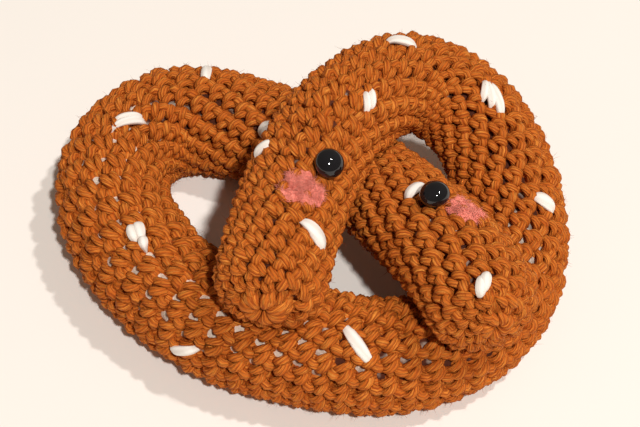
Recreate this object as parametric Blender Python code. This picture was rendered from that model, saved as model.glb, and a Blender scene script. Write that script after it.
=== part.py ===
# A crocheted toy pretzel: one stuffed tube that crosses over itself once, with two glossy
# eyes, two felted cheeks and fourteen stitches of white yarn for the salt.
# Sizes are in millimetres and angles in degrees, and a mesh turns them into metres.
# X runs across the pretzel, -Y is its front and +Z is up. It lies on its back at z = 0.

import bmesh
import bpy
import numpy as np

MM = 0.001

# Middle line of the tube, from the tip of the upper arm round the right lobe, the bottom
# and the left lobe to the tip of the lower arm. Each point is x, y, z and the radius there.
TUBE_POINTS = np.array([
    (-13.0, -27.0, 30.5, 10.5),
    (-8.0, -11.0, 31.0, 11.0),
    (-0.5, 4.5, 35.0, 10.7),
    (10.0, 17.0, 36.0, 10.3),
    (25.5, 29.0, 29.5, 9.8),
    (39.0, 19.0, 22.5, 10.4),
    (42.5, 3.0, 14.5, 10.9),
    (40.5, -13.5, 9.0, 10.8),
    (28.0, -27.5, 9.5, 10.6),
    (10.5, -30.5, 10.2, 11.3),
    (-6.0, -25.0, 11.0, 12.1),
    (-21.5, -18.0, 10.6, 11.7),
    (-33.5, -4.5, 10.6, 11.8),
    (-41.0, 10.5, 10.9, 12.0),
    (-41.5, 29.0, 10.5, 11.7),
    (-26.5, 41.5, 10.3, 11.5),
    (-9.0, 33.0, 11.2, 11.0),
    (4.0, 23.0, 14.0, 10.3),
    (13.5, 8.5, 18.0, 10.1),
    (19.5, -6.5, 24.0, 10.6),
    (26.0, -22.0, 29.0, 10.7),
    (30.0, -38.5, 30.0, 11.0),
])
LINE_SAMPLES = 2400
SLOPE_STEP = 0.2

# Middle of the finished toy across and along the ground, in the same millimetres: it goes to the origin
TOY_CENTRE = np.array([-0.1, 4.5, 0.0])

# Closed ends of the tube: how far the rounding reaches, and how square its shoulder is
CAP_LENGTH = 8.0
CAP_POWER = 2.5
CAP_RINGS = (0.15, 0.7, 1.8, 3.4)

# Rounds of crochet: even rows, stretched where the bottom left is stuffed hardest
ROW_PITCH = 3.6
ROW_STRETCH = 1.8
STRETCH_CENTRE = 221.0
STRETCH_HALF = 38.0
SHORTEST_ROW = 2.0
RIDGE_DEPTH = 0.6
RIDGE_SHOULDER = 0.3

# The tube is made as two halves that are joined under a groove at the bottom of the pretzel.
# Each ring of the plug and the seat is a length past that groove and a depth under the ridges.
SIDES = 16
JOIN_AT = 157.0
SIDE_TURN = 0.4
PLUG_RINGS = ((0.9, 1.8), (1.6, 3.6))
SEAT_RINGS = ((-1.1, 3.1), (-0.4, 1.1))

# Gap between the tube and what sits on it
GAP = 0.3

# Eye: a round button with its widest ring a little above its back, on a short neck
EYE_RADIUS = 3.0
EYE_BACK_DEPTH = 1.5
EYE_BACK_CURVE = 2.2
EYE_FRONT_DEPTH = 2.5
EYE_NECK_RADIUS = 1.3
EYE_NECK_LENGTH = 0.7
EYE_SIDES = 20
EYES = {
    "eye_left": (28.0, 31.0),
    "eye_right": (336.5, 0.0),
}

# Cheek: a thin felted patch. Middle along and around the tube, half length and half width.
CHEEK_EDGE = 0.3
CHEEK_MIDDLE = 0.8
CHEEK_SIDES = 24
CHEEK_RINGS = 4
CHEEK_WOBBLE = 0.08
CHEEKS = {
    "cheek_left": (21.5, 17.0, 3.7, 4.9),
    "cheek_right": (340.6, -23.0, 3.0, 3.7),
}

# Salt: both ends of each white stitch, along and around the tube, and its width
SALT_THICKNESS = 1.6
SALT_ARCH = 0.25
SALT_SIDES = 8
SALT_RINGS = 7
SALTS = {
    "salt_01": (240.3, -3.6, 245.8, 22.9, 3.0),
    "salt_02": (264.8, -3.4, 263.8, -44.0, 2.6),
    "salt_03": (207.2, -10.2, 213.5, 3.8, 4.0),
    "salt_04": (188.1, -66.6, 193.2, -85.0, 2.6),
    "salt_05": (162.7, -7.4, 158.0, -43.3, 3.0),
    "salt_06": (10.4, 60.9, 14.3, 23.3, 3.2),
    "salt_07": (29.3, -30.4, 26.3, -58.0, 2.4),
    "salt_08": (284.1, 24.8, 283.0, 44.0, 3.0),
    "salt_09": (47.4, 23.8, 44.1, 43.6, 3.2),
    "salt_10": (59.5, -20.0, 63.4, 5.0, 3.0),
    "salt_11": (79.9, -9.0, 87.0, -1.3, 3.8),
    "salt_12": (104.6, -11.0, 108.0, -42.0, 3.2),
    "salt_13": (355.6, 0.0, 359.3, 20.0, 3.6),
    "salt_14": (329.9, -9.6, 330.9, 18.3, 2.6),
}


def clear_scene():
    for item in list(bpy.data.objects):
        bpy.data.objects.remove(item, do_unlink=True)


def make_material(name, colour, roughness):
    material = bpy.data.materials.new(name)
    material.use_nodes = True
    shader = material.node_tree.nodes["Principled BSDF"]
    shader.inputs["Base Color"].default_value = (*colour, 1.0)
    shader.inputs["Roughness"].default_value = roughness
    return material


def make_object(name, points, faces, material):
    mesh = bpy.data.meshes.new(name)
    mesh.from_pydata((np.asarray(points) * MM).tolist(), [], faces)
    mesh.validate()
    mesh.materials.append(material)
    mesh.shade_smooth()
    item = bpy.data.objects.new(name, mesh)
    bpy.context.scene.collection.objects.link(item)
    return item


def cubic_spline(points, count):
    # Uniform cubic B-spline: each place is the weighted mean of four neighbouring points.
    # One mirrored point beyond each end makes the line start and stop on the end points.
    first = 2 * points[0] - points[1]
    last = 2 * points[-1] - points[-2]
    row = np.vstack([first, points, last])
    place = np.linspace(0.0, len(points) - 1.0, count)
    start = np.minimum(place.astype(int), len(points) - 2)
    part = (place - start)[:, None]
    weights = (
        (1 - part) ** 3,
        3 * part ** 3 - 6 * part ** 2 + 4,
        -3 * part ** 3 + 3 * part ** 2 + 3 * part + 1,
        part ** 3,
    )
    return sum(weight * row[start + step] for step, weight in enumerate(weights)) / 6


class TubeLine:
    # The tube's middle line with its length, radius and directions, read at any length along it

    def __init__(self):
        samples = cubic_spline(TUBE_POINTS, LINE_SAMPLES)
        self.centres = samples[:, :3] - TOY_CENTRE
        self.radii = samples[:, 3]
        steps = np.linalg.norm(np.diff(self.centres, axis=0), axis=1)
        self.lengths = np.concatenate([[0.0], np.cumsum(steps)])
        self.total = self.lengths[-1]
        ahead = np.gradient(self.centres, axis=0)
        self.ahead = ahead / np.linalg.norm(ahead, axis=1)[:, None]

    def read(self, values, along):
        return np.stack([np.interp(along, self.lengths, column) for column in values.T], -1)

    def frame(self, along):
        # Middle point, and the directions of travel, to its right and upwards across the tube
        centre = self.read(self.centres, along)
        ahead = self.read(self.ahead, along)
        right = np.cross(ahead, (0.0, 0.0, 1.0))
        right = right / np.linalg.norm(right, axis=-1, keepdims=True)
        above = np.cross(right, ahead)
        return centre, ahead, right, above

    def radius(self, along):
        # Radius with the rounding of the closed ends: a superellipse over the last few millimetres
        from_end = np.minimum(along, self.total - along)
        inward = np.clip(1 - from_end / CAP_LENGTH, 0.0, 1.0)
        rounding = (1 - inward ** CAP_POWER) ** (1 / CAP_POWER)
        return np.interp(along, self.lengths, self.radii) * rounding

    def place(self, along, around, height):
        # Point at a height square off the skin, an angle round from the top towards the right
        centre, ahead, right, above = self.frame(along)
        angle = np.radians(around)[..., None]
        outward = right * np.sin(angle) + above * np.cos(angle)
        slope = (self.radius(along + SLOPE_STEP) - self.radius(along - SLOPE_STEP)) / (2 * SLOPE_STEP)
        lean = np.arctan(slope)[..., None]
        off_skin = outward * np.cos(lean) - ahead * np.sin(lean)
        return centre + outward * self.radius(along)[..., None] + off_skin * height[..., None]


def row_pitch(along):
    # Raised-cosine stretch about the hardest stuffed stretch of the tube
    away = np.clip(abs(along - STRETCH_CENTRE) / STRETCH_HALF, 0.0, 1.0)
    return ROW_PITCH + ROW_STRETCH * 0.5 * (1 + np.cos(np.pi * away))


def row_rings(line):
    # Length along the tube and ridge height of each ring: a groove and two shoulders to a row
    rings = [(along, 0.0) for along in CAP_RINGS]
    along = CAP_RINGS[-1]
    last = line.total - CAP_RINGS[-1]
    while last - along > SHORTEST_ROW:
        pitch = row_pitch(along)
        if last - along < pitch + SHORTEST_ROW:
            pitch = last - along
        rings.append((along + RIDGE_SHOULDER * pitch, 0.0))
        rings.append((along + (1 - RIDGE_SHOULDER) * pitch, 0.0))
        along = along + pitch
        rings.append((along, -RIDGE_DEPTH))
    rings[-1] = (last, 0.0)
    rings += [(line.total - along, 0.0) for along in CAP_RINGS[-2::-1]]
    return rings


def ring_points(line, along, height, turn):
    # One ring of the tube, pressed flat where a full ridge would go below the ground
    around = (np.arange(SIDES) + turn) * 360.0 / SIDES
    alongs = np.full(SIDES, along)
    points = line.place(alongs, around, np.full(SIDES, height))
    ridges = line.place(alongs, around, np.zeros(SIDES))
    points[ridges[:, 2] <= 0.0, 2] = 0.0
    points[:, 2] = np.maximum(points[:, 2], 0.0)
    return points


def tube_half(name, line, rings, turn, material):
    # Closed skin through the rings, with a point at each end
    first = line.read(line.centres, rings[0][0])
    last = line.read(line.centres, rings[-1][0])
    loops = [ring_points(line, along, height, turn) for along, height in rings]
    points = np.vstack([first] + loops + [last])
    count = len(loops)
    faces = [(0, 1 + (side + 1) % SIDES, 1 + side) for side in range(SIDES)]
    for ring in range(count - 1):
        here = 1 + ring * SIDES
        there = here + SIDES
        for side in range(SIDES):
            after = (side + 1) % SIDES
            faces.append((here + side, here + after, there + after, there + side))
    here = 1 + (count - 1) * SIDES
    end = len(points) - 1
    faces += [(end, here + side, here + (side + 1) % SIDES) for side in range(SIDES)]
    return make_object(name, points, faces, material)


def add_tube(line, material):
    # Two halves, each with a plug inside the other, joined into one body by a union
    rings = row_rings(line)
    grooves = [index for index, ring in enumerate(rings) if ring[1] < 0]
    middle = min(grooves, key=lambda index: abs(rings[index][0] - JOIN_AT))
    along = rings[middle][0]
    plug = [(along + past, -depth) for past, depth in PLUG_RINGS]
    seat = [(along + past, -depth) for past, depth in SEAT_RINGS]
    upper = tube_half("pretzel", line, rings[:middle + 1] + plug, 0.5 - SIDE_TURN / 4, material)
    lower = tube_half("lower_half", line, seat + rings[middle + 1:], 0.5 + SIDE_TURN / 4, material)
    union = upper.modifiers.new("join_halves", "BOOLEAN")
    union.operation = "UNION"
    union.solver = "EXACT"
    union.object = lower
    scene_state = bpy.context.evaluated_depsgraph_get()
    joined = bpy.data.meshes.new_from_object(upper.evaluated_get(scene_state))
    upper.modifiers.remove(union)
    bpy.data.objects.remove(lower, do_unlink=True)
    upper.data = keep_outer_skin(joined)
    return upper


def keep_outer_skin(mesh):
    # Where two ridged stretches press together, grooves are shut in between them: those go
    skin = bmesh.new()
    skin.from_mesh(mesh)
    unseen = set(skin.verts)
    islands = []
    while unseen:
        queue = [unseen.pop()]
        island = set(queue)
        while queue:
            for edge in queue.pop().link_edges:
                for point in edge.verts:
                    if point in unseen:
                        unseen.remove(point)
                        island.add(point)
                        queue.append(point)
        islands.append(island)
    islands.sort(key=len)
    for island in islands[:-1]:
        bmesh.ops.delete(skin, geom=list(island), context="VERTS")
    skin.to_mesh(mesh)
    skin.free()
    mesh.shade_smooth()
    return mesh


def turned_shape(outline, sides, base, axis, aside):
    # Turns an outline of radius and height, from pole to pole, about an axis
    other = np.cross(axis, aside)
    points = [base + axis * outline[0][1]]
    for radius, height in outline[1:-1]:
        for side in range(sides):
            angle = 2 * np.pi * side / sides
            points.append(base + axis * height + radius * (aside * np.cos(angle) + other * np.sin(angle)))
    points.append(base + axis * outline[-1][1])
    faces = [(0, 1 + (side + 1) % sides, 1 + side) for side in range(sides)]
    for ring in range(len(outline) - 3):
        here = 1 + ring * sides
        there = here + sides
        for side in range(sides):
            after = (side + 1) % sides
            faces.append((here + side, here + after, there + after, there + side))
    here = 1 + (len(outline) - 3) * sides
    end = len(points) - 1
    faces += [(end, here + side, here + (side + 1) % sides) for side in range(sides)]
    return points, faces


def eye_outline():
    # Neck, back, then two quarter ellipses that meet at the widest ring
    widest = EYE_NECK_LENGTH + EYE_BACK_DEPTH
    lower = np.linspace(-EYE_BACK_DEPTH, 0.0, 4)
    upper = np.linspace(0.0, np.pi / 2, 8)[1:-1]
    outline = [(0.0, 0.0), (EYE_NECK_RADIUS, 0.0), (EYE_NECK_RADIUS, EYE_NECK_LENGTH)]
    outline += [(EYE_RADIUS * np.sqrt(1 - (drop / EYE_BACK_CURVE) ** 2), widest + drop) for drop in lower]
    outline += [(EYE_RADIUS * np.cos(rise), widest + EYE_FRONT_DEPTH * np.sin(rise)) for rise in upper]
    outline.append((0.0, widest + EYE_FRONT_DEPTH))
    return outline


def add_eye(name, line, along, around, material):
    base = line.place(np.array(along), np.array(around), np.array(GAP))
    below = line.place(np.array(along), np.array(around), np.array(0.0))
    axis = (base - below) / np.linalg.norm(base - below)
    aside = np.cross(axis, (0.0, 1.0, 0.0))
    aside = aside / np.linalg.norm(aside)
    points, faces = turned_shape(eye_outline(), EYE_SIDES, base, axis, aside)
    return make_object(name, points, faces, material)


def add_cheek(name, line, middle, around, half_length, half_width, material):
    # Round patch on the tube, thickest in the middle, with a slightly uneven edge
    turn = 2 * np.pi * np.arange(CHEEK_SIDES) / CHEEK_SIDES
    edge = 1 + CHEEK_WOBBLE * np.sin(3 * turn + middle)
    radius_here = line.radius(np.array(middle))
    layers = []
    for bottom in (True, False):
        for ring in range(1, CHEEK_RINGS + 1):
            share = ring / CHEEK_RINGS
            along = middle + half_length * share * edge * np.cos(turn)
            angle = around + np.degrees(half_width * share * edge * np.sin(turn) / radius_here)
            rise = CHEEK_EDGE + (CHEEK_MIDDLE - CHEEK_EDGE) * (1 - share ** 2)
            height = np.full(CHEEK_SIDES, GAP + (0.0 if bottom else rise))
            layers.append(line.place(along, angle, height))
    underside, topside = layers[:CHEEK_RINGS], layers[CHEEK_RINGS:]
    low = line.place(np.array(middle), np.array(around), np.array(GAP))
    high = line.place(np.array(middle), np.array(around), np.array(GAP + CHEEK_MIDDLE))
    loops = underside + topside[::-1]
    points = np.vstack([low] + loops + [high])
    faces = [(0, 1 + side, 1 + (side + 1) % CHEEK_SIDES) for side in range(CHEEK_SIDES)]
    for ring in range(len(loops) - 1):
        here = 1 + ring * CHEEK_SIDES
        there = here + CHEEK_SIDES
        for side in range(CHEEK_SIDES):
            after = (side + 1) % CHEEK_SIDES
            faces.append((here + side, there + side, there + after, here + after))
    here = 1 + (len(loops) - 1) * CHEEK_SIDES
    end = len(points) - 1
    faces += [(end, here + (side + 1) % CHEEK_SIDES, here + side) for side in range(CHEEK_SIDES)]
    return make_object(name, points, faces, material)


def add_salt(name, line, start, start_around, stop, stop_around, width, material):
    # A rounded bar laid over the tube between two places, arched a little off it
    share = 0.5 - 0.5 * np.cos(np.pi * np.arange(1, SALT_RINGS + 1) / (SALT_RINGS + 1))
    swell = np.sqrt(1 - (2 * share - 1) ** 4)
    lift = GAP + 0.5 * SALT_THICKNESS * swell + SALT_ARCH * 4 * share * (1 - share)
    along = start + (stop - start) * share
    around = start_around + (stop_around - start_around) * share
    centre = line.place(along, around, lift)
    below = line.place(along, around, np.zeros(SALT_RINGS))
    outward = centre - below
    outward = outward / np.linalg.norm(outward, axis=1)[:, None]
    ahead = np.gradient(centre, axis=0)
    across = np.cross(ahead, outward)
    across = across / np.linalg.norm(across, axis=1)[:, None]
    turn = 2 * np.pi * np.arange(SALT_SIDES) / SALT_SIDES
    loops = []
    for ring in range(SALT_RINGS):
        wide = 0.5 * width * swell[ring] * across[ring]
        tall = 0.5 * SALT_THICKNESS * swell[ring] * outward[ring]
        loops.append(centre[ring] + np.outer(np.cos(turn), wide) + np.outer(np.sin(turn), tall))
    ends = line.place(np.array([start, stop]), np.array([start_around, stop_around]), np.full(2, GAP))
    points = np.vstack([ends[0]] + loops + [ends[1]])
    faces = [(0, 1 + side, 1 + (side + 1) % SALT_SIDES) for side in range(SALT_SIDES)]
    for ring in range(SALT_RINGS - 1):
        here = 1 + ring * SALT_SIDES
        there = here + SALT_SIDES
        for side in range(SALT_SIDES):
            after = (side + 1) % SALT_SIDES
            faces.append((here + side, there + side, there + after, here + after))
    here = 1 + (SALT_RINGS - 1) * SALT_SIDES
    end = len(points) - 1
    faces += [(end, here + (side + 1) % SALT_SIDES, here + side) for side in range(SALT_SIDES)]
    return make_object(name, points, faces, material)


def build_pretzel():
    clear_scene()
    yarn = make_material("caramel_yarn", (0.48, 0.15, 0.03), 0.9)
    black = make_material("black_plastic", (0.01, 0.01, 0.012), 0.08)
    pink = make_material("pink_felt", (0.75, 0.18, 0.17), 0.95)
    white = make_material("white_yarn", (0.85, 0.8, 0.72), 0.9)
    line = TubeLine()
    add_tube(line, yarn)
    for name, (along, around) in EYES.items():
        add_eye(name, line, along, around, black)
    for name, (middle, around, half_length, half_width) in CHEEKS.items():
        add_cheek(name, line, middle, around, half_length, half_width, pink)
    for name, places in SALTS.items():
        add_salt(name, line, *places, white)


build_pretzel()
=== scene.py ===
import bpy
import numpy as np
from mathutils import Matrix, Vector


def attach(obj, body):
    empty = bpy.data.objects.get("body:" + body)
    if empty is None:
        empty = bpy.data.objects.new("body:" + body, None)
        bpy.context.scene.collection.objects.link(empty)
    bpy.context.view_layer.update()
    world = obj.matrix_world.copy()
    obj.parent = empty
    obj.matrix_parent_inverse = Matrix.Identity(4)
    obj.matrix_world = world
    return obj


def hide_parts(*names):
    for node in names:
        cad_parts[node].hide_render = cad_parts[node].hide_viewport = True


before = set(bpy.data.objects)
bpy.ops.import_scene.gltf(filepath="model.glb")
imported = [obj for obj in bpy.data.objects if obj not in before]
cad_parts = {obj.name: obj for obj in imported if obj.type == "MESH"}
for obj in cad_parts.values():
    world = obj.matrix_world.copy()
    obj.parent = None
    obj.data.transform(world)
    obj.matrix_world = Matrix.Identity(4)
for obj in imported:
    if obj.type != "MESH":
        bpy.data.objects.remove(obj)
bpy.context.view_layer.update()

# A crocheted toy pretzel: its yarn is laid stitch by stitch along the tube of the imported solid.
# Lengths are in millimetres and angles in degrees; addMesh turns points into metres.

mm = 0.001
dice = np.random.default_rng(14)

# Middle line of the tube, as the solid has it: x, y, z and radius, from tip to tip.
tube = dict(
    points=(
        (-14.0, -29.1, 30.3, 10.5),
        (-8.0, -11.0, 31.0, 11.0),
        (-0.5, 4.5, 35.0, 10.7),
        (10.0, 17.0, 36.0, 10.3),
        (25.5, 29.0, 29.5, 9.8),
        (39.0, 19.0, 22.5, 10.4),
        (42.5, 3.0, 14.5, 10.9),
        (40.5, -13.5, 9.0, 10.8),
        (28.0, -27.5, 9.5, 10.6),
        (10.5, -30.5, 10.2, 11.3),
        (-6.0, -25.0, 11.0, 12.1),
        (-21.5, -18.0, 10.6, 11.7),
        (-33.5, -4.5, 10.6, 11.8),
        (-41.0, 10.5, 10.9, 12.0),
        (-41.5, 29.0, 10.5, 11.7),
        (-26.5, 41.5, 10.3, 11.5),
        (-9.0, 33.0, 11.2, 11.0),
        (4.0, 23.0, 14.0, 10.3),
        (13.5, 8.5, 18.0, 10.1),
        (19.5, -6.5, 24.0, 10.6),
        (26.0, -22.0, 29.0, 10.7),
        (30.0, -38.5, 30.0, 11.0),
    ),
    centre=(-0.1, 4.5, 0.0),  # middle of the toy, which goes to the origin
    samples=2400,
    solidLength=360.86,  # length of the solid's tube; lengths count from its first tip
    capLength=8.0,
    capPower=2.5,
    capRows=300,
    skinRows=3000,
    touchAfter=45.0,  # stretches further apart than this along the tube can press together
    touchReach=4.0,  # how much further apart than their radii two middles may be and press
    touchEvery=6,  # every sixth place of the middle line is compared
    touchBatch=8000,  # points worked out at a time
)


def unit(rows):
    # each row over its own length
    return rows / np.maximum(np.linalg.norm(rows, axis=-1, keepdims=True), 1e-9)


def smoothPath(rows, parts):
    # uniform cubic B-spline: each place is the weighted mean of four neighbouring rows,
    # with one mirrored row beyond each end, read at even parts of every span
    rows = np.asarray(rows, dtype=float)
    ext = np.vstack([2 * rows[0] - rows[1], rows, 2 * rows[-1] - rows[-2]])
    t = (np.arange(parts) / parts)[None, :, None]
    weights = (
        (1 - t) ** 3,
        3 * t ** 3 - 6 * t ** 2 + 4,
        -3 * t ** 3 + 3 * t ** 2 + 3 * t + 1,
        t ** 3,
    )
    count = len(rows) - 1
    inner = sum(w * ext[k:k + count, None] for k, w in enumerate(weights)) / 6
    return np.vstack([inner.reshape(-1, rows.shape[1]), rows[-1:]])


tubePath = smoothPath(tube["points"], tube["samples"] // (len(tube["points"]) - 1))
lineAt = tubePath[:, :3] - np.array(tube["centre"])
lineAhead = unit(np.gradient(lineAt, axis=0))
lineLength = np.concatenate([[0.0], np.cumsum(np.linalg.norm(np.diff(lineAt, axis=0), axis=1))])
lineLength += tube["solidLength"] - lineLength[-1]
tubeStart, tubeTotal = lineLength[0], lineLength[-1]


def readLine(values, along):
    # each column of the values, read in straight steps between the places of the middle line
    return np.stack([np.interp(along, lineLength, column) for column in values.T], -1)


def skinProfile():
    # skin from pole to pole: even steps of the radius over the rounded ends, even steps along
    # the rest; the measure is the length over the skin, and its slopes give the way off it
    power = tube["capPower"]
    share = np.linspace(0.0, 1.0, tube["capRows"])
    end = tube["capLength"] * (1 - (1 - share ** power) ** (1 / power))
    capEnds = tubeStart + tube["capLength"], tubeTotal - tube["capLength"]
    middle = np.linspace(*capEnds, tube["skinRows"])[1:-1]
    along = np.concatenate([tubeStart + end, middle, tubeTotal - end[::-1]])
    rounding = np.concatenate([share, np.ones(len(middle)), share[::-1]])
    reach = np.interp(along, lineLength, tubePath[:, 3]) * rounding
    measure = np.concatenate([[0.0], np.cumsum(np.hypot(np.diff(along), np.diff(reach)))])
    return along, reach, measure, np.gradient(along, measure), np.gradient(reach, measure)


skinAlong, skinReach, skinMeasure, skinRun, skinRise = skinProfile()
skinTotal = skinMeasure[-1]


def onSkin(measure, around, height):
    # point square off the skin: middle line, out by the radius at the angle, then the height
    along = alongAt(measure)
    reach = np.interp(measure, skinMeasure, skinReach)[..., None]
    run = np.interp(measure, skinMeasure, skinRun)[..., None]
    rise = np.interp(measure, skinMeasure, skinRise)[..., None]
    ahead = readLine(lineAhead, along)
    right = unit(np.cross(ahead, (0.0, 0.0, 1.0)))
    above = np.cross(right, ahead)
    angle = np.radians(around)[..., None]
    outward = right * np.sin(angle) + above * np.cos(angle)
    offSkin = unit(outward * run - ahead * rise)
    return readLine(lineAt, along) + outward * reach + offSkin * np.asarray(height)[..., None], offSkin


def alongAt(measure):
    # length along the middle line at a length over the skin
    return np.interp(measure, skinMeasure, skinAlong)


def measureAt(along):
    # length over the skin at a length along the middle line
    return np.interp(along, skinAlong, skinMeasure)


def pressFlat(points, along, keep):
    # where two stretches press together, a point past the plane of equal power between the two
    # round sections moves straight back to it, and stays the keep distance short of it
    every = slice(0, len(lineAt), tube["touchEvery"])
    middles, reaches, lengths = lineAt[every], tubePath[every, 3], lineLength[every]
    out = points.copy()
    for part in np.array_split(np.arange(len(points)), max(1, len(points) // tube["touchBatch"])):
        here = points[part]
        squares = (here ** 2).sum(1)[:, None] - 2 * here @ middles.T + (middles ** 2).sum(1)[None]
        power = squares - reaches[None] ** 2
        power[np.abs(along[part][:, None] - lengths[None]) < tube["touchAfter"]] = np.inf
        near = power.argmin(1)
        other, otherReach = middles[near], reaches[near]
        mine = readLine(lineAt, along[part])
        myReach = np.interp(along[part], lineLength, tubePath[:, 3])
        apart = np.linalg.norm(other - mine, axis=1)
        towards = (other - mine) / apart[:, None]
        plane = (apart ** 2 + myReach ** 2 - otherReach ** 2) / (2 * apart)
        past = ((here - mine) * towards).sum(1) - plane + keep
        touching = (apart < myReach + otherReach + tube["touchReach"]) & (past > 0)
        out[part] = here - towards * np.where(touching, past, 0.0)[:, None]
    return out


def addMesh(name, points, faces, material, uvs=None):
    # faces is a list of arrays, each with faces of one size; uvs has one row for each corner
    mesh = bpy.data.meshes.new(name)
    mesh.from_pydata((points * mm).tolist(), [], [face for block in faces for face in block.tolist()])
    if uvs is not None:
        layer = mesh.uv_layers.new(name="strand")
        layer.uv.foreach_set("vector", uvs.astype(np.float32).ravel())
    mesh.materials.append(material)
    mesh.shade_smooth()
    piece = bpy.data.objects.new(name, mesh)
    bpy.context.scene.collection.objects.link(piece)
    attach(piece, "root")
    return piece


def gridFaces(rows, sides):
    # closed grid of rings: quads between neighbours of two rings, and at both ends a fan to the
    # ring's middle; the two middles follow the rings in the list of points
    ring, place = np.meshgrid(np.arange(rows - 1), np.arange(sides), indexing="ij")
    here, after = ring * sides + place, ring * sides + (place + 1) % sides
    quads = np.stack([here, after, after + sides, here + sides], -1).reshape(-1, 4)
    edge, edgeNext = np.arange(sides), (np.arange(sides) + 1) % sides
    final = (rows - 1) * sides
    first = np.stack([np.full(sides, rows * sides), edgeNext, edge], -1)
    last = np.stack([np.full(sides, rows * sides + 1), final + edge, final + edgeNext], -1)
    return [quads, first, last]


def carryRound(centres, ups, wide, tall, sides, turn, plies, plyDepth):
    # closed strand: a round of points at each place of the path, with plies as cosine lobes;
    # the round turns with the twist, then stretches sideways by wide and upwards by tall
    ahead = unit(np.gradient(centres, axis=0))
    side = unit(np.cross(ahead, ups))
    up = np.cross(side, ahead)
    own = 2 * np.pi * np.arange(sides) / sides
    swell = 1 + np.reshape(plyDepth, (-1, 1)) * np.cos(plies * own)[None]
    angle = own[None] + turn[:, None]
    across = (swell * np.cos(angle) * wide[:, None])[..., None] * side[:, None]
    rise = (swell * np.sin(angle) * tall[:, None])[..., None] * up[:, None]
    rings = centres[:, None] + across + rise
    count = len(centres)
    points = np.vstack([rings.reshape(-1, 3), centres[:1], centres[-1:]])
    ring, place = np.meshgrid(np.arange(count - 1), np.arange(sides), indexing="ij")
    here, after = ring * sides + place, ring * sides + (place + 1) % sides
    quads = np.stack([here, here + sides, after + sides, after], -1).reshape(-1, 4)
    step = np.linalg.norm(np.diff(centres, axis=0), axis=1)
    length = np.concatenate([[0.0], np.cumsum(step)])
    u0, u1 = place / sides, (place + 1) / sides
    v0, v1 = length[ring], length[ring + 1]
    quadUv = np.stack([u0, v0, u0, v1, u1, v1, u1, v0], -1).reshape(-1, 2)
    edge = np.arange(sides)
    first = np.stack([np.full(sides, count * sides), edge, (edge + 1) % sides], -1)
    last = np.stack([np.full(sides, count * sides + 1), (edge + 1) % sides, edge], -1)
    last[:, 1:] += (count - 1) * sides
    capUv = np.zeros((6 * sides, 2))
    return points, quads, np.vstack([first, last]), quadUv, capUv


def joinStrands(strands):
    # several strands as one mesh: points in turn, faces shifted by the points before them
    starts = np.cumsum([0] + [len(strand[0]) for strand in strands[:-1]])
    points = np.vstack([strand[0] for strand in strands])
    quads = np.vstack([strand[1] + start for strand, start in zip(strands, starts)])
    tris = np.vstack([strand[2] + start for strand, start in zip(strands, starts)])
    uvs = np.vstack([strand[3] for strand in strands] + [strand[4] for strand in strands])
    return points, [quads, tris], uvs


# Materials

def newMaterial(name):
    material = bpy.data.materials.new(name)
    material.use_nodes = True
    return material, material.node_tree, material.node_tree.nodes["Principled BSDF"]


def addNode(tree, kind, inputs, **settings):
    node = tree.nodes.new(kind)
    for key, value in settings.items():
        setattr(node, key, value)
    for key, value in inputs.items():
        if isinstance(value, bpy.types.NodeSocket):
            tree.links.new(value, node.inputs[key])
        else:
            node.inputs[key].default_value = value
    return node


def mathNode(tree, operation, first, second=0.0):
    return addNode(tree, "ShaderNodeMath", {0: first, 1: second}, operation=operation).outputs[0]


def mixColour(tree, factor, first, second):
    node = addNode(tree, "ShaderNodeMix", {"Factor": factor}, data_type="RGBA")
    for key, value in ((6, first), (7, second)):
        if isinstance(value, bpy.types.NodeSocket):
            tree.links.new(value, node.inputs[key])
        else:
            node.inputs[key].default_value = (*value, 1.0)
    return node.outputs[2]


def objectPlace(tree):
    return addNode(tree, "ShaderNodeTexCoord", {}).outputs["Object"]


def noiseNode(tree, place, scale, detail, **more):
    inputs = {"Vector": place, "Scale": scale, "Detail": detail, **more}
    return addNode(tree, "ShaderNodeTexNoise", inputs).outputs[0]


def rangeNode(tree, value, start, stop, most=1.0):
    # nothing up to the start, then evenly up to the most at the stop
    inputs = {0: value, 1: start, 2: stop, 3: 0.0, 4: most}
    return addNode(tree, "ShaderNodeMapRange", inputs).outputs[0]


def scaledPair(tree, parts, across, along):
    # the strand's two coordinates, each with a scale of its own
    first = mathNode(tree, "MULTIPLY", parts[0], across)
    second = mathNode(tree, "MULTIPLY", parts[1], along)
    return addNode(tree, "ShaderNodeCombineXYZ", {0: first, 1: second}).outputs[0]


def addRelief(tree, shader, height, strength, distance):
    inputs = {"Height": height, "Strength": strength, "Distance": distance}
    tree.links.new(addNode(tree, "ShaderNodeBump", inputs).outputs[0], shader.inputs["Normal"])


def setInputs(shader, values):
    for key, value in values.items():
        shader.inputs[key].default_value = value


# Yarn: what both yarns share, then each one's own dye, painted groove shade, painted highlight streaks,
# plies and finish.
yarnGrain = dict(
    wanderAcross=5.0, wanderAlong=0.7,  # scale of the noise that bends the plies
    fibreAlong=0.35,
    ridgeFrom=-1.0, ridgeTo=0.6,  # where across a ply its ridge begins and is full; towards the groove the colour is painted darker as painted shade
    highlightFrom=0.5, highlightTo=0.72,  # fibre noise at which a painted highlight streak begins and is full
    fibreHeight=0.8, ridgeHeight=0.6, relief=0.00025, sheenRoughness=0.5,
)
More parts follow.
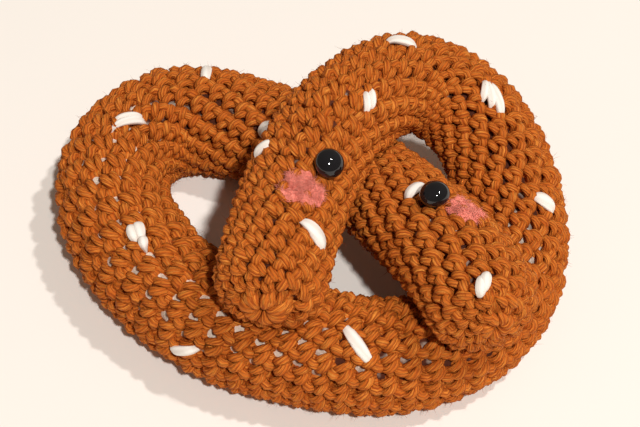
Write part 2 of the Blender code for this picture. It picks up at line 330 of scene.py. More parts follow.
# In both looks groove is painted shade for the grooves between plies, and highlightColour a painted
# highlight.
caramelLook = dict(
    plies=7, fibreCount=34.0, dyeScale=160.0, bump=0.8, roughness=0.75, sheen=0.06, gloss=0.18,
    highlightShare=0.85, wander=6.0, deep=(0.46, 0.094, 0.008), base=(0.62, 0.145, 0.011),
    groove=(0.33, 0.058, 0.005), highlightColour=(0.98, 0.42, 0.07),
)
whiteLook = dict(
    plies=4, fibreCount=30.0, dyeScale=200.0, bump=0.4, roughness=0.85, sheen=0.1, gloss=0.15,
    highlightShare=0.3, wander=2.0, deep=(0.86, 0.80, 0.72), base=(0.93, 0.88, 0.81),
    groove=(0.80, 0.72, 0.64), highlightColour=(0.97, 0.94, 0.90),
)


def yarnMaterial(name, look):
    # plied yarn: grooves between plies follow the twist and are painted darker, as painted
    # shade; fine fibres run along them with painted highlight streaks, and the dye is a little
    # uneven from place to place
    material, tree, shader = newMaterial(name)
    strand = addNode(tree, "ShaderNodeUVMap", {}, uv_map="strand").outputs[0]
    parts = addNode(tree, "ShaderNodeSeparateXYZ", {0: strand}).outputs
    slow = scaledPair(tree, parts, yarnGrain["wanderAcross"], yarnGrain["wanderAlong"])
    wander = mathNode(tree, "MULTIPLY", noiseNode(tree, slow, 1.0, 2.0), look["wander"])
    turned = mathNode(tree, "MULTIPLY", parts[0], 2 * np.pi * look["plies"])
    ply = mathNode(tree, "COSINE", mathNode(tree, "ADD", turned, wander))
    ridge = rangeNode(tree, ply, yarnGrain["ridgeFrom"], yarnGrain["ridgeTo"])
    fine = scaledPair(tree, parts, look["fibreCount"], yarnGrain["fibreAlong"])
    fibres = noiseNode(tree, fine, 1.0, 3.0, Roughness=0.7)
    uneven = noiseNode(tree, objectPlace(tree), look["dyeScale"], 2.0)
    dyed = mixColour(tree, uneven, look["deep"], look["base"])
    # painted shade: the colour darkens from the dye to groove in the grooves between plies
    grooveShaded = mixColour(tree, ridge, look["groove"], dyed)
    # painted highlight: light streaks of highlightColour laid along the fibres; the same colour tints
    # the sheen
    highlightShare = rangeNode(tree, fibres, yarnGrain["highlightFrom"], yarnGrain["highlightTo"], look["highlightShare"])
    tree.links.new(mixColour(tree, highlightShare, grooveShaded, look["highlightColour"]), shader.inputs["Base Color"])
    fibreHeight = mathNode(tree, "MULTIPLY", fibres, yarnGrain["fibreHeight"])
    ridgeHeight = mathNode(tree, "MULTIPLY", ridge, yarnGrain["ridgeHeight"])
    height = mathNode(tree, "ADD", fibreHeight, ridgeHeight)
    addRelief(tree, shader, height, look["bump"], yarnGrain["relief"])
    setInputs(shader, {
        "Roughness": look["roughness"],
        "Sheen Weight": look["sheen"],
        "Sheen Roughness": yarnGrain["sheenRoughness"],
        "Sheen Tint": (*look["highlightColour"], 1.0),
        "Specular IOR Level": look["gloss"],
    })
    return material


caramelYarn = yarnMaterial("caramelYarn", caramelLook)
whiteYarn = yarnMaterial("whiteYarn", whiteLook)

stuffingLook = dict(
    clumpScale=240.0, openShare=0.75, shownFrom=0.64, shownTo=0.82, wispScale=2200.0, relief=0.0004,
    shadedBrown=(0.09, 0.018, 0.004), shade=(0.44, 0.33, 0.24), fluff=(0.95, 0.83, 0.70),
    bump=0.8, roughness=0.95,
)


def stuffingMaterial():
    # polyester stuffing: it shows where the stitches are stretched; elsewhere the core is painted a
    # very dark brown, the brown of the yarn behind it darkened as painted shade, as far as the
    # piece's own attribute "open" and clumps of noise say
    material, tree, shader = newMaterial("stuffing")
    look = stuffingLook
    place = objectPlace(tree)
    clumps = noiseNode(tree, place, look["clumpScale"], 2.0)
    opened = addNode(tree, "ShaderNodeAttribute", {}, attribute_name="open").outputs["Fac"]
    level = mathNode(tree, "ADD", clumps, mathNode(tree, "MULTIPLY", opened, look["openShare"]))
    shown = rangeNode(tree, level, look["shownFrom"], look["shownTo"])
    wisps = noiseNode(tree, place, look["wispScale"], 4.0, Distortion=1.5)
    fluff = mixColour(tree, wisps, look["shade"], look["fluff"])
    # painted shade: where no stuffing shows, the core is a brown far darker than the yarn, standing for
    # the shadowed holes
    tree.links.new(mixColour(tree, shown, look["shadedBrown"], fluff), shader.inputs["Base Color"])
    addRelief(tree, shader, wisps, look["bump"], look["relief"])
    setInputs(shader, {"Roughness": look["roughness"]})
    return material


stuffingFluff = stuffingMaterial()

feltLook = dict(
    blotchScale=500.0, fibreScale=3000.0, relief=0.0002, deep=(0.92, 0.15, 0.10),
    base=(1.0, 0.28, 0.19), tips=(1.0, 0.38, 0.29), tint=(1.0, 0.40, 0.33), bump=0.7,
    roughness=0.95, sheen=0.9,
)


def feltMaterial():
    # needle-felted wool: blotches of two pinks, with short fibres as a fine noise
    material, tree, shader = newMaterial("pinkFelt")
    look = feltLook
    place = objectPlace(tree)
    blotch = noiseNode(tree, place, look["blotchScale"], 3.0)
    fibres = noiseNode(tree, place, look["fibreScale"], 4.0, Distortion=2.0)
    base = mixColour(tree, blotch, look["deep"], look["base"])
    tree.links.new(mixColour(tree, fibres, base, look["tips"]), shader.inputs["Base Color"])
    addRelief(tree, shader, fibres, look["bump"], look["relief"])
    setInputs(shader, {
        "Roughness": look["roughness"],
        "Sheen Weight": look["sheen"],
        "Sheen Tint": (*look["tint"], 1.0),
    })
    return material


pinkFelt = feltMaterial()

eyeLook = dict(
    rippleScale=350.0, relief=0.0002, deep=(0.004, 0.004, 0.005), base=(0.010, 0.010, 0.012),
    bump=0.05, roughness=0.06, coat=0.15, coatRoughness=0.03,
)


def eyeMaterial():
    # moulded black plastic: very faint unevenness in a clear gloss
    material, tree, shader = newMaterial("blackPlastic")
    look = eyeLook
    ripple = noiseNode(tree, objectPlace(tree), look["rippleScale"], 1.0)
    tree.links.new(mixColour(tree, ripple, look["deep"], look["base"]), shader.inputs["Base Color"])
    addRelief(tree, shader, ripple, look["bump"], look["relief"])
    setInputs(shader, {
        "Roughness": look["roughness"],
        "Coat Weight": look["coat"],
        "Coat Roughness": look["coatRoughness"],
    })
    return material


blackPlastic = eyeMaterial()
print("materials made")

# Rounds of crochet: where each round lies on the skin, and how far it leans.
crochet = dict(
    round=14,  # stitches to a round
    ring=7,  # stitches in the first and last rounds
    ringHole=1.0,
    ringRoom=0.12,  # part of a round that the first stitches' feet and the last ones' tops keep free
    pitch=3.6,
    stretches=((221.0, 60.0, 1.8), (338.0, 30.0, 0.8)),  # middle, half length and added pitch
    startAngle=20.0,
    lean=7.0,  # each round starts this far back
    leanMore=4.0,  # and this much further at the first stretch
    strand=0.88,  # radius of the yarn
    fullWidth=4.2,  # a stitch at least this wide has the full strand
    thinnest=0.42,  # share of the strand that the narrowest stitch keeps
    squash=0.92,
    sides=12,
    parts=2,
    pieces=8,
    # shakes of a whole stitch, and then of each of its places
    acrossShake=(0.05, 0.015),
    upShake=(0.035, 0.015),
    heightShake=(0.10, 0.06),
    thickShake=0.05,
    turnShake=15.0,
    veeKeep=0.9,  # how far short of a pressed plane the middles of the strands stay
    loopKeep=1.1,
    floorShare=0.55,  # how high they stay over the floor, in radii of the yarn
    # one stitch: across in stitch widths towards the next one, up in rounds, height of the
    # strand's middle, thickness, degrees that the plies have turned, and depth of the plies.
    # The vee comes out under the last round's top, goes up its right leg and down its left.
    vee=(
        (-0.46, 0.38, -4.2, 0.75, 0.0, 0.04),
        (-0.10, 0.28, -3.2, 0.85, 10.0, 0.04),
        (-0.07, 0.18, -1.1, 0.94, 20.0, 0.06),
        (0.07, 0.42, -0.40, 1.00, 60.0, 0.07),
        (0.28, 0.70, -0.40, 0.92, 110.0, 0.06),
        (0.41, 0.86, -2.0, 0.80, 140.0, 0.04),
        (0.52, 0.84, -3.6, 0.75, 150.0, 0.04),
        (0.74, 0.70, -1.8, 0.88, 165.0, 0.05),
        (0.67, 0.57, -0.25, 1.04, 190.0, 0.07),
        (0.46, 0.37, 0.05, 1.10, 225.0, 0.09),
        (0.23, 0.17, -0.5, 1.02, 255.0, 0.07),
        (0.12, 0.22, -3.2, 0.85, 270.0, 0.04),
    ),
    veeTurn=280.0,
    # The top loop shows as a bead between the vees of the next round.
    topLoop=(
        (0.06, 1.06, -4.2, 0.70, 0.0, 0.02),
        (0.60, 1.00, -3.0, 0.85, 60.0, 0.02),
        (0.62, 0.76, -0.9, 1.04, 110.0, 0.02),
        (0.59, 0.98, 0.10, 1.18, 170.0, 0.02),
        (0.55, 1.20, -0.9, 1.04, 200.0, 0.02),
        (0.56, 1.06, -3.2, 0.80, 240.0, 0.02),
    ),
    loopTurn=300.0,
)


def mound(along, middle, half):
    # raised cosine: 1 at the middle, 0 beyond the half length
    return 0.5 * (1 + np.cos(np.pi * np.clip(np.abs(along - middle) / half, 0.0, 1.0)))


def roundTables():
    # rounds counted along the skin: the sum of skin length over pitch, scaled to a whole number
    inside = (skinMeasure > crochet["ringHole"]) & (skinMeasure < skinTotal - crochet["ringHole"])
    measure, along = skinMeasure[inside], skinAlong[inside]
    added = sum(more * mound(along, at, half) for at, half, more in crochet["stretches"])
    pitch = crochet["pitch"] + added
    rows = np.concatenate([[0.0], np.cumsum(np.diff(measure) / pitch[1:])])
    rows = rows * round(rows[-1]) / rows[-1]
    at, half, _ = crochet["stretches"][0]
    lean = crochet["lean"] + crochet["leanMore"] * mound(along, at, half)
    leaning = np.concatenate([[0.0], np.cumsum(np.diff(rows) * lean[1:])])
    return rows, measure, leaning, lean


rowTable, rowMeasure, rowLeaning, rowLean = roundTables()
rowCount = int(round(rowTable[-1]))


def stitchPlaces():
    # width of each stitch in rounds, its middle, and the rounds that its foot and top lie on
    ring, per, room = crochet["ring"], crochet["round"], crochet["ringRoom"]
    fullRounds = rowCount - 3  # all but the two end rounds, whose last tops reach the last row
    tip = np.full(ring, 1 / ring)
    width = np.concatenate([tip, np.full(per * fullRounds, 1 / per), tip])
    middle = np.cumsum(width) - width / 2
    foot = np.where(middle < 1, room * middle, middle)
    top = np.minimum(middle + 1, rowCount - room)
    return width, middle, foot, top


stitchWidth, stitchMiddle, stitchFoot, stitchTop = (row[:, None] for row in stitchPlaces())
stitchCount = len(stitchWidth)


def onStitches(across, up):
    # places of every stitch, a row for each: across turns them about the tube, and up moves them
    # along the skin from foot to top and leans them
    turned = stitchMiddle + across * stitchWidth
    row = stitchFoot + (stitchTop - stitchFoot) * up + across * stitchWidth
    around = (
        crochet["startAngle"] - 360.0 * turned + np.interp(turned, rowTable, rowLeaning)
        + up * np.interp(turned, rowTable, rowLean)
    )
    return np.interp(row, rowTable, rowMeasure), around


def strandPath(shape, stitchTurn, keep):
    # every stitch repeats the shape with a small shake of its own; a narrow stitch has a thinner
    # strand, by its width over the full width
    across, up, height, thick, turn, plyDepth = (np.array(column)[None] for column in zip(*shape))
    whole = dice.normal(0.0, 1.0, (4, stitchCount, 1))
    each = dice.normal(0.0, 1.0, (3, stitchCount, across.shape[1]))
    across = across * (1 + crochet["acrossShake"][0] * whole[0]) + crochet["acrossShake"][1] * each[0]
    up = up + crochet["upShake"][0] * whole[1] + crochet["upShake"][1] * each[1]
    height = height + crochet["heightShake"][0] * whole[2] + crochet["heightShake"][1] * each[2]
    thick = thick * (1 + crochet["thickShake"] * whole[3])
    measure, around = onStitches(across, up)
    reach = np.interp(measure, skinMeasure, skinReach)
    room = 2 * np.pi * reach * stitchWidth / crochet["fullWidth"]
    thick = thick * crochet["strand"] * np.clip(room, crochet["thinnest"], 1.0)
    points, ups = onSkin(measure.ravel(), around.ravel(), height.ravel())
    along = alongAt(measure.ravel())
    points = pressFlat(points, along, keep)
    turn = turn + stitchTurn * np.arange(stitchCount)[:, None] + crochet["turnShake"] * whole[3]
    turns, depths = np.radians(turn).ravel(), (plyDepth + np.zeros_like(turn)).ravel()
    rows = np.column_stack([points, ups, thick.ravel(), along, turns, depths])
    return smoothPath(rows, crochet["parts"])


def layYarn():
    # two strands, the legs of the stitches and the loops along their tops, cut into stretches
    legs = strandPath(crochet["vee"], crochet["veeTurn"], crochet["veeKeep"])
    loops = strandPath(crochet["topLoop"], crochet["loopTurn"], crochet["loopKeep"])
    for number in range(crochet["pieces"]):
        strands = []
        for path in (legs, loops):
            count = len(path) - 1
            first = count * number // crochet["pieces"]
            last = count * (number + 1) // crochet["pieces"]
            part = path[first:last + 1]
            centres, ups, thick = part[:, :3].copy(), unit(part[:, 3:6]), part[:, 6]
            centres[:, 2] = np.maximum(centres[:, 2], crochet["floorShare"] * thick)
            strands.append(carryRound(
                centres, ups, thick, thick * crochet["squash"], crochet["sides"], part[:, 8],
                caramelLook["plies"], part[:, 9],
            ))
        points, faces, uvs = joinStrands(strands)
        points[:, 2] = np.maximum(points[:, 2], 0.0)
        piece = addMesh(f"yarnRounds{number + 1}", points, faces, caramelYarn, uvs)
        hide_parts("pretzel")
    return legs


legPath = layYarn()
print("yarn laid:", stitchCount, "stitches in", rowCount - 1, "rounds")


def skinGrid(settings):
    # even steps along the skin and around it, as two grids
    measure = np.linspace(settings["endRoom"], skinTotal - settings["endRoom"], settings["rows"])
    angle = 360.0 * np.arange(settings["sides"]) / settings["sides"]
    return np.meshgrid(measure, angle, indexing="ij")


def wrapSheet(settings, measure, angle, height):
    # points over a grid of the skin: pressed flat at the contacts, then held over the floor,
    # with the mean of each end ring as the pole that closes it
    sides = settings["sides"]
    points, _ = onSkin(measure.ravel(), angle.ravel(), height.ravel())
    points = pressFlat(points, alongAt(measure.ravel()), settings["keep"])
    points[:, 2] = np.maximum(points[:, 2], settings["floor"])
    return np.vstack([points, points[:sides].mean(0), points[-sides:].mean(0)])


# Bed: the inner side of the fabric, where the strands lie close, with a hole beside each stitch.
bed = dict(
    rows=880, sides=110, height=-1.15, endRoom=0.5, keep=1.9, floor=0.8, shake=0.12,
    # each hole: across in stitch widths, up in rounds, inner and outer radius, and depth
    holes=((0.05, -0.25, 0.80, 1.25, 3.2), (0.37, 0.655, 0.15, 0.6, 1.4)),
    batch=8,  # rows worked out at a time
    near=3.0,  # how far past a hole's edge its middle is still looked for
    plyWidth=10,  # sides of the grid to one turn of the plies
)


def layBed():
    # sheet at one height; each hole is a smooth step down by the distance to its middle
    rows, sides = bed["rows"], bed["sides"]
    measure, angle = skinGrid(bed)
    skin, _ = onSkin(measure, angle, np.zeros((rows, sides)))
    height = bed["height"] + bed["shake"] * dice.normal(0.0, 1.0, (rows, sides))
    for across, up, inner, outer, depth in bed["holes"]:
        holeMeasure, holeAround = (row.ravel() for row in onStitches(across, up))
        middles, _ = onSkin(holeMeasure, holeAround, np.zeros(stitchCount))
        for part in np.array_split(np.arange(rows), rows // bed["batch"]):
            near = np.abs(holeMeasure - measure[part, 0].mean()) < outer + bed["near"]
            if near.any():
                gap = np.linalg.norm(skin[part][:, :, None] - middles[near][None, None], axis=3).min(2)
                step = np.clip((outer - gap) / (outer - inner), 0.0, 1.0)
                height[part] -= depth * step * step * (3 - 2 * step)
    points = wrapSheet(bed, measure, angle, height)
    ring, place = np.meshgrid(np.arange(rows - 1), np.arange(sides), indexing="ij")
    u0, u1 = place / bed["plyWidth"], (place + 1) / bed["plyWidth"]
    v0, v1 = measure[ring, 0], measure[ring + 1, 0]
    quadUv = np.stack([u0, v0, u1, v0, u1, v1, u0, v1], -1).reshape(-1, 2)
    uvs = np.vstack([quadUv, np.zeros((6 * sides, 2))])
    piece = addMesh("yarnBed", points, gridFaces(rows, sides), caramelYarn, uvs)
    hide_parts("pretzel")


layBed()
print("bed laid")

# Rosettes: the broad first stitches round the hole at each tip.
rosette = dict(
    start=0.8, stop=(4.9, 3.4), dive=1.5, thick=0.9, thin=0.35, sides=16, rings=20,
    archPower=3, share=1.02, narrow=0.55, turnStart=10.0, lean=14.0, angleShake=2.5,
    heightShake=0.08, twist=80.0, twistShake=50.0, plyDepth=0.06,
)


def layRosettes():
    # petal from the hole outwards: its height is an arch, its width a share of the way round
    petals = []
    share = np.linspace(0.0, 1.0, rosette["rings"])
    arch = 1 - np.abs(2 * share - 1) ** rosette["archPower"]
    narrow, thin = rosette["narrow"], rosette["thin"]
    for end in (0, 1):
        offPole = rosette["start"] + (rosette["stop"][end] - rosette["start"]) * share
        measure = skinTotal - offPole if end else offPole
        reach = np.interp(measure, skinMeasure, skinReach)
        wide = np.pi * reach / crochet["ring"] * rosette["share"] * (narrow + (1 - narrow) * arch)
        thick = rosette["thick"] * (thin + (1 - thin) * arch)
        for number in range(crochet["ring"]):
            shake = dice.normal(0.0, 1.0, 3)
            start = rosette["turnStart"] + 360.0 * number / crochet["ring"]
            around = start + rosette["angleShake"] * shake[0] + rosette["lean"] * share
            height = rosette["heightShake"] * shake[1] - rosette["dive"] * (1 - arch)
            centres, ups = onSkin(measure, around, height)
            turn = np.radians(rosette["twistShake"] * shake[2] + rosette["twist"] * share)
            petals.append(carryRound(
                centres, ups, wide, thick, rosette["sides"], turn, caramelLook["plies"],
                rosette["plyDepth"],
            ))
    points, faces, uvs = joinStrands(petals)
    piece = addMesh("tipRosettes", points, faces, caramelYarn, uvs)
    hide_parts("pretzel")


layRosettes()
print("rosettes laid")

# Stuffing: the soft core that shows between the stitches.
stuffing = dict(
    depth=2.7, rise=0.4, lumps=0.3, smooth=3, rows=700, sides=56, keep=2.6, floor=1.2, fill=0.9,
    endRoom=2.0,
    # where it shows: middle, half length and how far the stitches are open
    shows=((207.0, 62.0, 1.3), (338.0, 30.0, 0.3), (122.0, 34.0, 0.35)),
)


def packStuffing():
    # sheet sunk by the depth, with lumps from a random grid that is smoothed over its neighbours
    rows, sides = stuffing["rows"], stuffing["sides"]
    lumps = dice.normal(0.0, 1.0, (rows, sides))
    for _ in range(stuffing["smooth"]):
        lumps = (lumps + np.roll(lumps, 1, 1) + np.roll(lumps, -1, 1)) / 3
        lumps = (lumps + np.roll(lumps, 1, 0) + np.roll(lumps, -1, 0)) / 3
    lumps = stuffing["lumps"] * lumps / lumps.std()
    measure, angle = skinGrid(stuffing)
    along = alongAt(measure)
    opened = sum(more * mound(along, at, half) for at, half, more in stuffing["shows"])
    height = lumps - stuffing["depth"] + stuffing["rise"] * opened
    points = wrapSheet(stuffing, measure, angle, height)
    core = addMesh("stuffingCore", points, gridFaces(rows, sides), stuffingFluff)
    layer = core.data.attributes.new("open", "FLOAT", "POINT")
    layer.data.foreach_set("value", np.append(opened, [0.0, 0.0]).astype(np.float32))
    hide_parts("pretzel")


packStuffing()
print("stuffing packed")

# Salt: white yarn stitches. Each strand is both its ends along and around the tube, and a width.
salt = dict(
    thick=0.85, thin=0.2, lift=0.45, dive=1.9, divePower=1.5, archPower=2.4, sides=16, rings=30,
    twist=40.0, plyDepth=0.03,
    stitches=dict(
        salt_01=((239.4, -5.5, 246.4, 25.5, 2.1), (240.7, -7.5, 246.9, 20.5, 2.0)),
        salt_02=((264.9, -2.0, 263.8, -46.0, 2.4),),
        salt_03=(
            (209.4, -14.0, 213.6, -6.5, 2.3), (208.8, -8.5, 213.4, 1.5, 2.6),
            (207.0, -12.0, 209.5, -5.0, 2.1),
        ),
        salt_04=((187.6, -65.0, 193.6, -86.0, 2.2),),
        salt_05=((164.0, -2.0, 157.3, -46.0, 2.6), (162.6, -9.0, 157.9, -40.0, 2.2)),
        salt_06=((10.0, 66.0, 14.7, 23.5, 3.1),),
        salt_07=((30.6, -30.0, 27.4, -60.0, 2.1),),
        salt_08=((284.4, 23.0, 283.0, 46.0, 2.8),),
        salt_09=((48.6, 25.5, 45.0, 46.5, 1.7), (47.3, 24.5, 43.6, 45.0, 1.7)),
        salt_10=((60.0, -25.0, 64.6, 3.0, 2.7),),
        salt_11=(
            (79.2, -14.0, 87.8, 0.0, 2.2), (79.4, -12.0, 84.8, 6.0, 2.2),
            (79.3, -12.0, 82.2, 13.0, 1.9),
        ),
        salt_12=((104.6, -15.0, 108.4, -46.0, 3.1),),
        salt_13=((355.4, -1.0, 358.6, 15.0, 2.3), (355.7, 5.0, 359.0, 21.0, 2.3)),
        salt_14=((329.9, -12.0, 330.9, 21.0, 2.6),),
    ),
)


def sewSalt(name, strands):
    # strand over the tube between two places: the height is an arch from the dive at each end,
    # and the width and thickness swell with the arch from thin ends
    parts = []
    share = np.linspace(0.0, 1.0, salt["rings"])
    arch = 1 - np.abs(2 * share - 1) ** salt["archPower"]
    swell = salt["thin"] + (1 - salt["thin"]) * arch
    for start, startAround, stop, stopAround, width in strands:
        along = start + (stop - start) * share
        around = startAround + (stopAround - startAround) * share
        height = salt["lift"] * arch - salt["dive"] * (1 - arch) ** salt["divePower"]
        centres, ups = onSkin(measureAt(along), around, height)
        turn = 2 * np.pi * share * np.linalg.norm(centres[-1] - centres[0]) / salt["twist"]
        parts.append(carryRound(
            centres, ups, 0.5 * width * swell, salt["thick"] * swell, salt["sides"], turn,
            whiteLook["plies"], salt["plyDepth"],
        ))
    points, faces, uvs = joinStrands(parts)
    piece = addMesh("saltStitch" + name[-2:], points, faces, whiteYarn, uvs)
    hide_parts(name)


for name, strands in salt["stitches"].items():
    sewSalt(name, strands)
print("salt sewn:", len(salt["stitches"]))

# Eyes: glossy round buttons, drawn finer than their solids.
eyes = dict(
    radius=3.0, backDepth=1.5, backCurve=2.2, backRings=9, frontDepth=2.5, frontRings=22,
    neck=1.3, neckLength=0.7, neckSunk=1.6, gap=0.3, sides=56,
    places=dict(eye_left=(28.0, 31.0), eye_right=(336.5, 0.0)),
)


def turnEye(name, along, around):
    # the outline of the solid's eye turned about its axis: neck, back, and two quarter ellipses
    widest = eyes["neckLength"] + eyes["backDepth"]
    drop = np.linspace(-eyes["backDepth"], 0.0, eyes["backRings"])
    rise = np.linspace(0.0, np.pi / 2, eyes["frontRings"])[1:-1]
    radius = np.concatenate([
        [eyes["neck"], eyes["neck"], eyes["neck"]],
        eyes["radius"] * np.sqrt(1 - (drop / eyes["backCurve"]) ** 2),
        eyes["radius"] * np.cos(rise),
    ])
    height = np.concatenate([
        [-eyes["neckSunk"], 0.0, eyes["neckLength"]],
        widest + drop,
        widest + eyes["frontDepth"] * np.sin(rise),
    ])
    base, axis = onSkin(measureAt(np.array([along])), np.array([around]), np.array([eyes["gap"]]))
    base, axis = base[0], axis[0]
    aside = unit(np.cross(axis, (0.0, 1.0, 0.0)))
    other = np.cross(axis, aside)
    turn = 2 * np.pi * np.arange(eyes["sides"]) / eyes["sides"]
    spoke = aside[None] * np.cos(turn)[:, None] + other[None] * np.sin(turn)[:, None]
    rings = base + axis * height[:, None, None] + radius[:, None, None] * spoke[None]
    poles = [base + axis * height[0]], [base + axis * (widest + eyes["frontDepth"])]
    points = np.vstack([rings.reshape(-1, 3), *poles])
    faces = gridFaces(len(radius), eyes["sides"])
    piece = addMesh(name.replace("eye_", "eyeButton_"), points, faces, blackPlastic)
    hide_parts(name)


for name, place in eyes["places"].items():
    turnEye(name, *place)
print("eyes turned")

# Fibres: each is a three-sided strand of three rounds.
hair = dict(rounds=(0.0, 0.5, 1.0), taper=(1.0, 0.85, 0.2), sides=3)


def strandHairs(roots, ways, ups, length, radius, bend):
    # middle of a fibre at a share of its length: root, plus way by length by share, plus bend by
    # length by the share squared; its radius tapers towards the point
    rounds, sides = np.array(hair["rounds"]), hair["sides"]
    taper = radius * np.array(hair["taper"])
    centre = (
        roots[:, None] + ways[:, None] * (length[:, None] * rounds[None])[..., None]
        + bend[:, None] * (length[:, None] * rounds[None] ** 2)[..., None]
    )
    side = unit(np.cross(ways, ups))
    other = np.cross(ways, side)
    turn = 2 * np.pi * np.arange(sides) / sides
    spoke = side[:, None] * np.cos(turn)[None, :, None] + other[:, None] * np.sin(turn)[None, :, None]
    points = centre[:, :, None] + taper[None, :, None, None] * spoke[:, None]
    size = sides * len(rounds)
    base = size * np.arange(len(roots))[:, None, None]
    ring, place = np.meshgrid(np.arange(len(rounds) - 1), np.arange(sides), indexing="ij")
    here, after = (ring * sides + place)[None] + base, (ring * sides + (place + 1) % sides)[None] + base
    quads = np.stack([here, after, after + sides, here + sides], -1).reshape(-1, 4)
    ends = np.array([[0, 2, 1], [size - 3, size - 2, size - 1]])[None] + base
    return points.reshape(-1, 3), quads, ends.reshape(-1, 3)


def leanOver(ways, ups, rise):
    # each way without its part off the skin, and then with the rise off it
    return unit(ways - ups * (ways * ups).sum(1)[:, None] + ups * rise)


# Cheeks: felted wool over the stitches, with short fibres standing off it.
cheeks = dict(
    rings=16, sides=72, cover=0.28, fill=-0.5, sink=0.9, edgeSink=0.25, fadePower=6,
    waves=((0.07, 3), (0.06, 7), (0.05, 13)),  # how deep and how many waves the edge has
    waveStart=1.0,
    fibres=2200, fibreLength=(0.6, 1.9), fibreRadius=0.035, fibreRise=0.25, fibreRoot=0.02,
    bend=0.35, bendDown=0.25,
    rim=0.8, rimLength=0.7,  # past this share of the patch its fibres are shorter
    yarnNear=6.0, yarnNone=-9.0,  # how far along strands count, and the height where none does
    places=dict(cheek_left=(21.5, 17.0, 3.8, 4.9), cheek_right=(339.8, -26.5, 3.1, 3.7)),
)


def yarnHeight(points, ups, along):
    # how high the strands stand over each point: each path place counts as a small ball
    lowest, highest = along.min() - cheeks["yarnNear"], along.max() + cheeks["yarnNear"]
    near = legPath[(legPath[:, 7] > lowest) & (legPath[:, 7] < highest)]
    offset = near[None, :, :3] - points[:, None]
    rise = (offset * ups[:, None]).sum(-1)
    aside = (offset ** 2).sum(-1) - rise ** 2
    ball = near[None, :, 6] ** 2 - aside
    return np.where(ball > 0, rise + np.sqrt(np.maximum(ball, 0.0)), cheeks["yarnNone"]).max(1)


def cheekFaces(rings, sides, turned):
    # rings about a middle point, the same again below them, and a wall round the edge
    count = 1 + rings * sides
    ring, place = np.meshgrid(np.arange(rings - 1), np.arange(sides), indexing="ij")
    here, after = 1 + ring * sides + place, 1 + ring * sides + (place + 1) % sides
    quads = np.stack([here, here + sides, after + sides, after], -1).reshape(-1, 4)
    spot, spotNext = np.arange(sides), (np.arange(sides) + 1) % sides
    edge, edgeNext = 1 + (rings - 1) * sides + spot, 1 + (rings - 1) * sides + spotNext
    wall = np.stack([edge, edge + count, edgeNext + count, edgeNext], -1)
    fan = np.stack([np.zeros(sides, int), 1 + spot, 1 + spotNext], -1)
    if turned:
        quads, wall, fan = quads[:, ::-1], wall[:, ::-1], fan[:, ::-1]
    return np.vstack([quads, quads[:, ::-1] + count, wall]), np.vstack([fan, fan[:, ::-1] + count])


def feltCheek(name, middle, around, halfLength, halfWidth):
    # patch laid over the strands: its edge is a circle with three sets of waves, stretched by the
    # two half sizes, and its cover fades towards that edge
    rings, sides = cheeks["rings"], cheeks["sides"]
    turn = 2 * np.pi * np.arange(sides) / sides
    (slow, slowCount), (some, someCount), (quick, quickCount) = cheeks["waves"]
    edge = (
        1 + slow * np.sin(slowCount * turn + middle)
        + some * np.sin(someCount * turn + cheeks["waveStart"]) + quick * np.sin(quickCount * turn)
    )
    share = np.arange(1, rings + 1) / rings
    reach = np.interp(measureAt(middle), skinMeasure, skinReach)
    run = (share[:, None] * edge[None] * np.cos(turn)[None]).ravel() * halfLength
    over = np.degrees((share[:, None] * edge[None] * np.sin(turn)[None]).ravel() * halfWidth / reach)
    along = np.concatenate([[middle], middle + run])
    angle = np.concatenate([[around], around + over])
    count = len(along)
    skin, ups = onSkin(measureAt(along), angle, np.zeros(count))
    relief = np.maximum(yarnHeight(skin, ups, along), cheeks["fill"])
    fade = np.concatenate([[1.0], np.repeat(1 - share ** cheeks["fadePower"], sides)])
    top = skin + ups * (relief + cheeks["cover"] * fade - cheeks["edgeSink"] * (1 - fade))[:, None]
    under = skin + ups * (relief - cheeks["sink"])[:, None]
    facing = np.cross(top[1 + sides // 4] - top[0], top[1] - top[0]) @ ups[0]
    quads, fan = cheekFaces(rings, sides, facing > 0)
    pick = dice.integers(1, count, cheeks["fibres"])
    ways = leanOver(unit(dice.normal(0.0, 1.0, (len(pick), 3))), ups[pick], cheeks["fibreRise"])
    bend = unit(dice.normal(0.0, 1.0, (len(pick), 3))) * cheeks["bend"] - ups[pick] * cheeks["bendDown"]
    shorter = np.where(share[(pick - 1) // sides] > cheeks["rim"], cheeks["rimLength"], 1.0)
    length = dice.uniform(*cheeks["fibreLength"], len(pick)) * shorter
    roots = top[pick] + ups[pick] * cheeks["fibreRoot"]
    hairPoints, hairQuads, hairEnds = strandHairs(
        roots, ways, ups[pick], length, cheeks["fibreRadius"], bend
    )
    faces = [quads, hairQuads + 2 * count, fan, hairEnds + 2 * count]
    points = np.vstack([top, under, hairPoints])
    piece = addMesh(name.replace("cheek_", "feltCheek_"), points, faces, pinkFelt)
    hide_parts(name)


for name, place in cheeks["places"].items():
    feltCheek(name, *place)
print("cheeks felted")

# Fuzz: loose fibres that stand off the yarn.
fuzz = dict(count=14000, length=(0.5, 1.7), radius=0.03, rootShare=0.8, rise=(0.1, 1.0), bend=0.5)


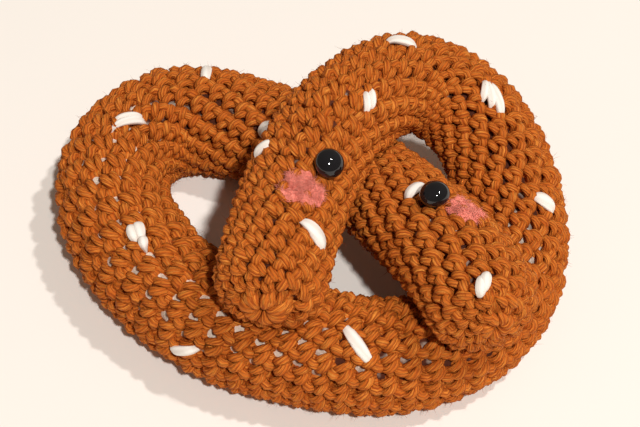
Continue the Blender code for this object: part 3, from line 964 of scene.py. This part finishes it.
def raiseFuzz():
    # fibres rooted on the strands' outer side, leaning off the skin and along it at random
    count = fuzz["count"]
    pick = dice.integers(0, len(legPath), count)
    ups = unit(legPath[pick, 3:6])
    roots = legPath[pick, :3] + ups * (legPath[pick, 6] * fuzz["rootShare"])[:, None]
    ways = unit(dice.normal(0.0, 1.0, (count, 3)))
    ways = leanOver(ways, ups, dice.uniform(*fuzz["rise"], count)[:, None])
    bend = unit(dice.normal(0.0, 1.0, (count, 3))) * fuzz["bend"]
    length = dice.uniform(*fuzz["length"], count)
    points, quads, ends = strandHairs(roots, ways, ups, length, fuzz["radius"], bend)
    points[:, 2] = np.maximum(points[:, 2], 0.0)
    uvs = np.zeros((4 * len(quads) + 3 * len(ends), 2))
    piece = addMesh("yarnFuzz", points, [quads, ends], caramelYarn, uvs)
    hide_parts("pretzel")


raiseFuzz()
print("fuzz raised")

# Floor, lights and camera.
studio = dict(
    floorHalf=4000.0, floorColour=(0.90, 0.85, 0.79), floorDeep=0.985, floorRoughness=0.7,
    mottleScale=30.0, worldColour=(1.0, 0.84, 0.68), worldStrength=0.18,
    # each light: where it stands, its size, its power in watts and its colour
    lights=dict(
        front=((210.0, -1060.0, 1690.0), 90.0, 29.8, (1.0, 0.978, 0.955)),
        right=((815.0, -110.0, 1825.0), 90.0, 15.5, (1.0, 0.978, 0.955)),
    ),
    aim=(0.0, 0.0, 15.0),
)
camera = dict(
    place=(-32.1, -253.6, 343.0), target=(2.1, 2.7, 12.0), lens=112.2, sensor=36.0, nearest=20.0,
)


def aimAt(thing, place, target):
    thing.location = Vector(place) * mm
    thing.rotation_euler = (Vector(target) - Vector(place)).to_track_quat("-Z", "Y").to_euler()
    bpy.context.scene.collection.objects.link(thing)


def floorMaterial():
    # pale card with a very faint mottle
    material, tree, shader = newMaterial("paleFloor")
    mottle = noiseNode(tree, objectPlace(tree), studio["mottleScale"], 3.0)
    pale = studio["floorColour"]
    deep = tuple(studio["floorDeep"] * part for part in pale)
    tree.links.new(mixColour(tree, mottle, deep, pale), shader.inputs["Base Color"])
    setInputs(shader, {"Roughness": studio["floorRoughness"]})
    return material


def setStage():
    half = studio["floorHalf"]
    corners = np.array([(-half, -half, 0.0), (half, -half, 0.0), (half, half, 0.0), (-half, half, 0.0)])
    mesh = bpy.data.meshes.new("floor")
    mesh.from_pydata((corners * mm).tolist(), [], [(0, 1, 2, 3)])
    mesh.materials.append(floorMaterial())
    floor = bpy.data.objects.new("floor", mesh)
    bpy.context.scene.collection.objects.link(floor)
    world = bpy.data.worlds.new("softRoom")
    world.use_nodes = True
    world.node_tree.nodes["Background"].inputs["Color"].default_value = (*studio["worldColour"], 1.0)
    world.node_tree.nodes["Background"].inputs["Strength"].default_value = studio["worldStrength"]
    bpy.context.scene.world = world
    for name, (place, size, power, colour) in studio["lights"].items():
        lamp = bpy.data.lights.new(name, "AREA")
        lamp.size = size * mm
        lamp.energy = power
        lamp.color = colour
        aimAt(bpy.data.objects.new(name, lamp), place, studio["aim"])


def setCamera():
    lens = bpy.data.cameras.new("photoView")
    lens.lens = camera["lens"]
    lens.sensor_width = camera["sensor"]
    lens.clip_start = camera["nearest"] * mm
    viewer = bpy.data.objects.new("photoView", lens)
    aimAt(viewer, camera["place"], camera["target"])
    bpy.context.scene.camera = viewer


setStage()
setCamera()
bpy.context.scene.view_settings.view_transform = "Standard"
print("stage set")
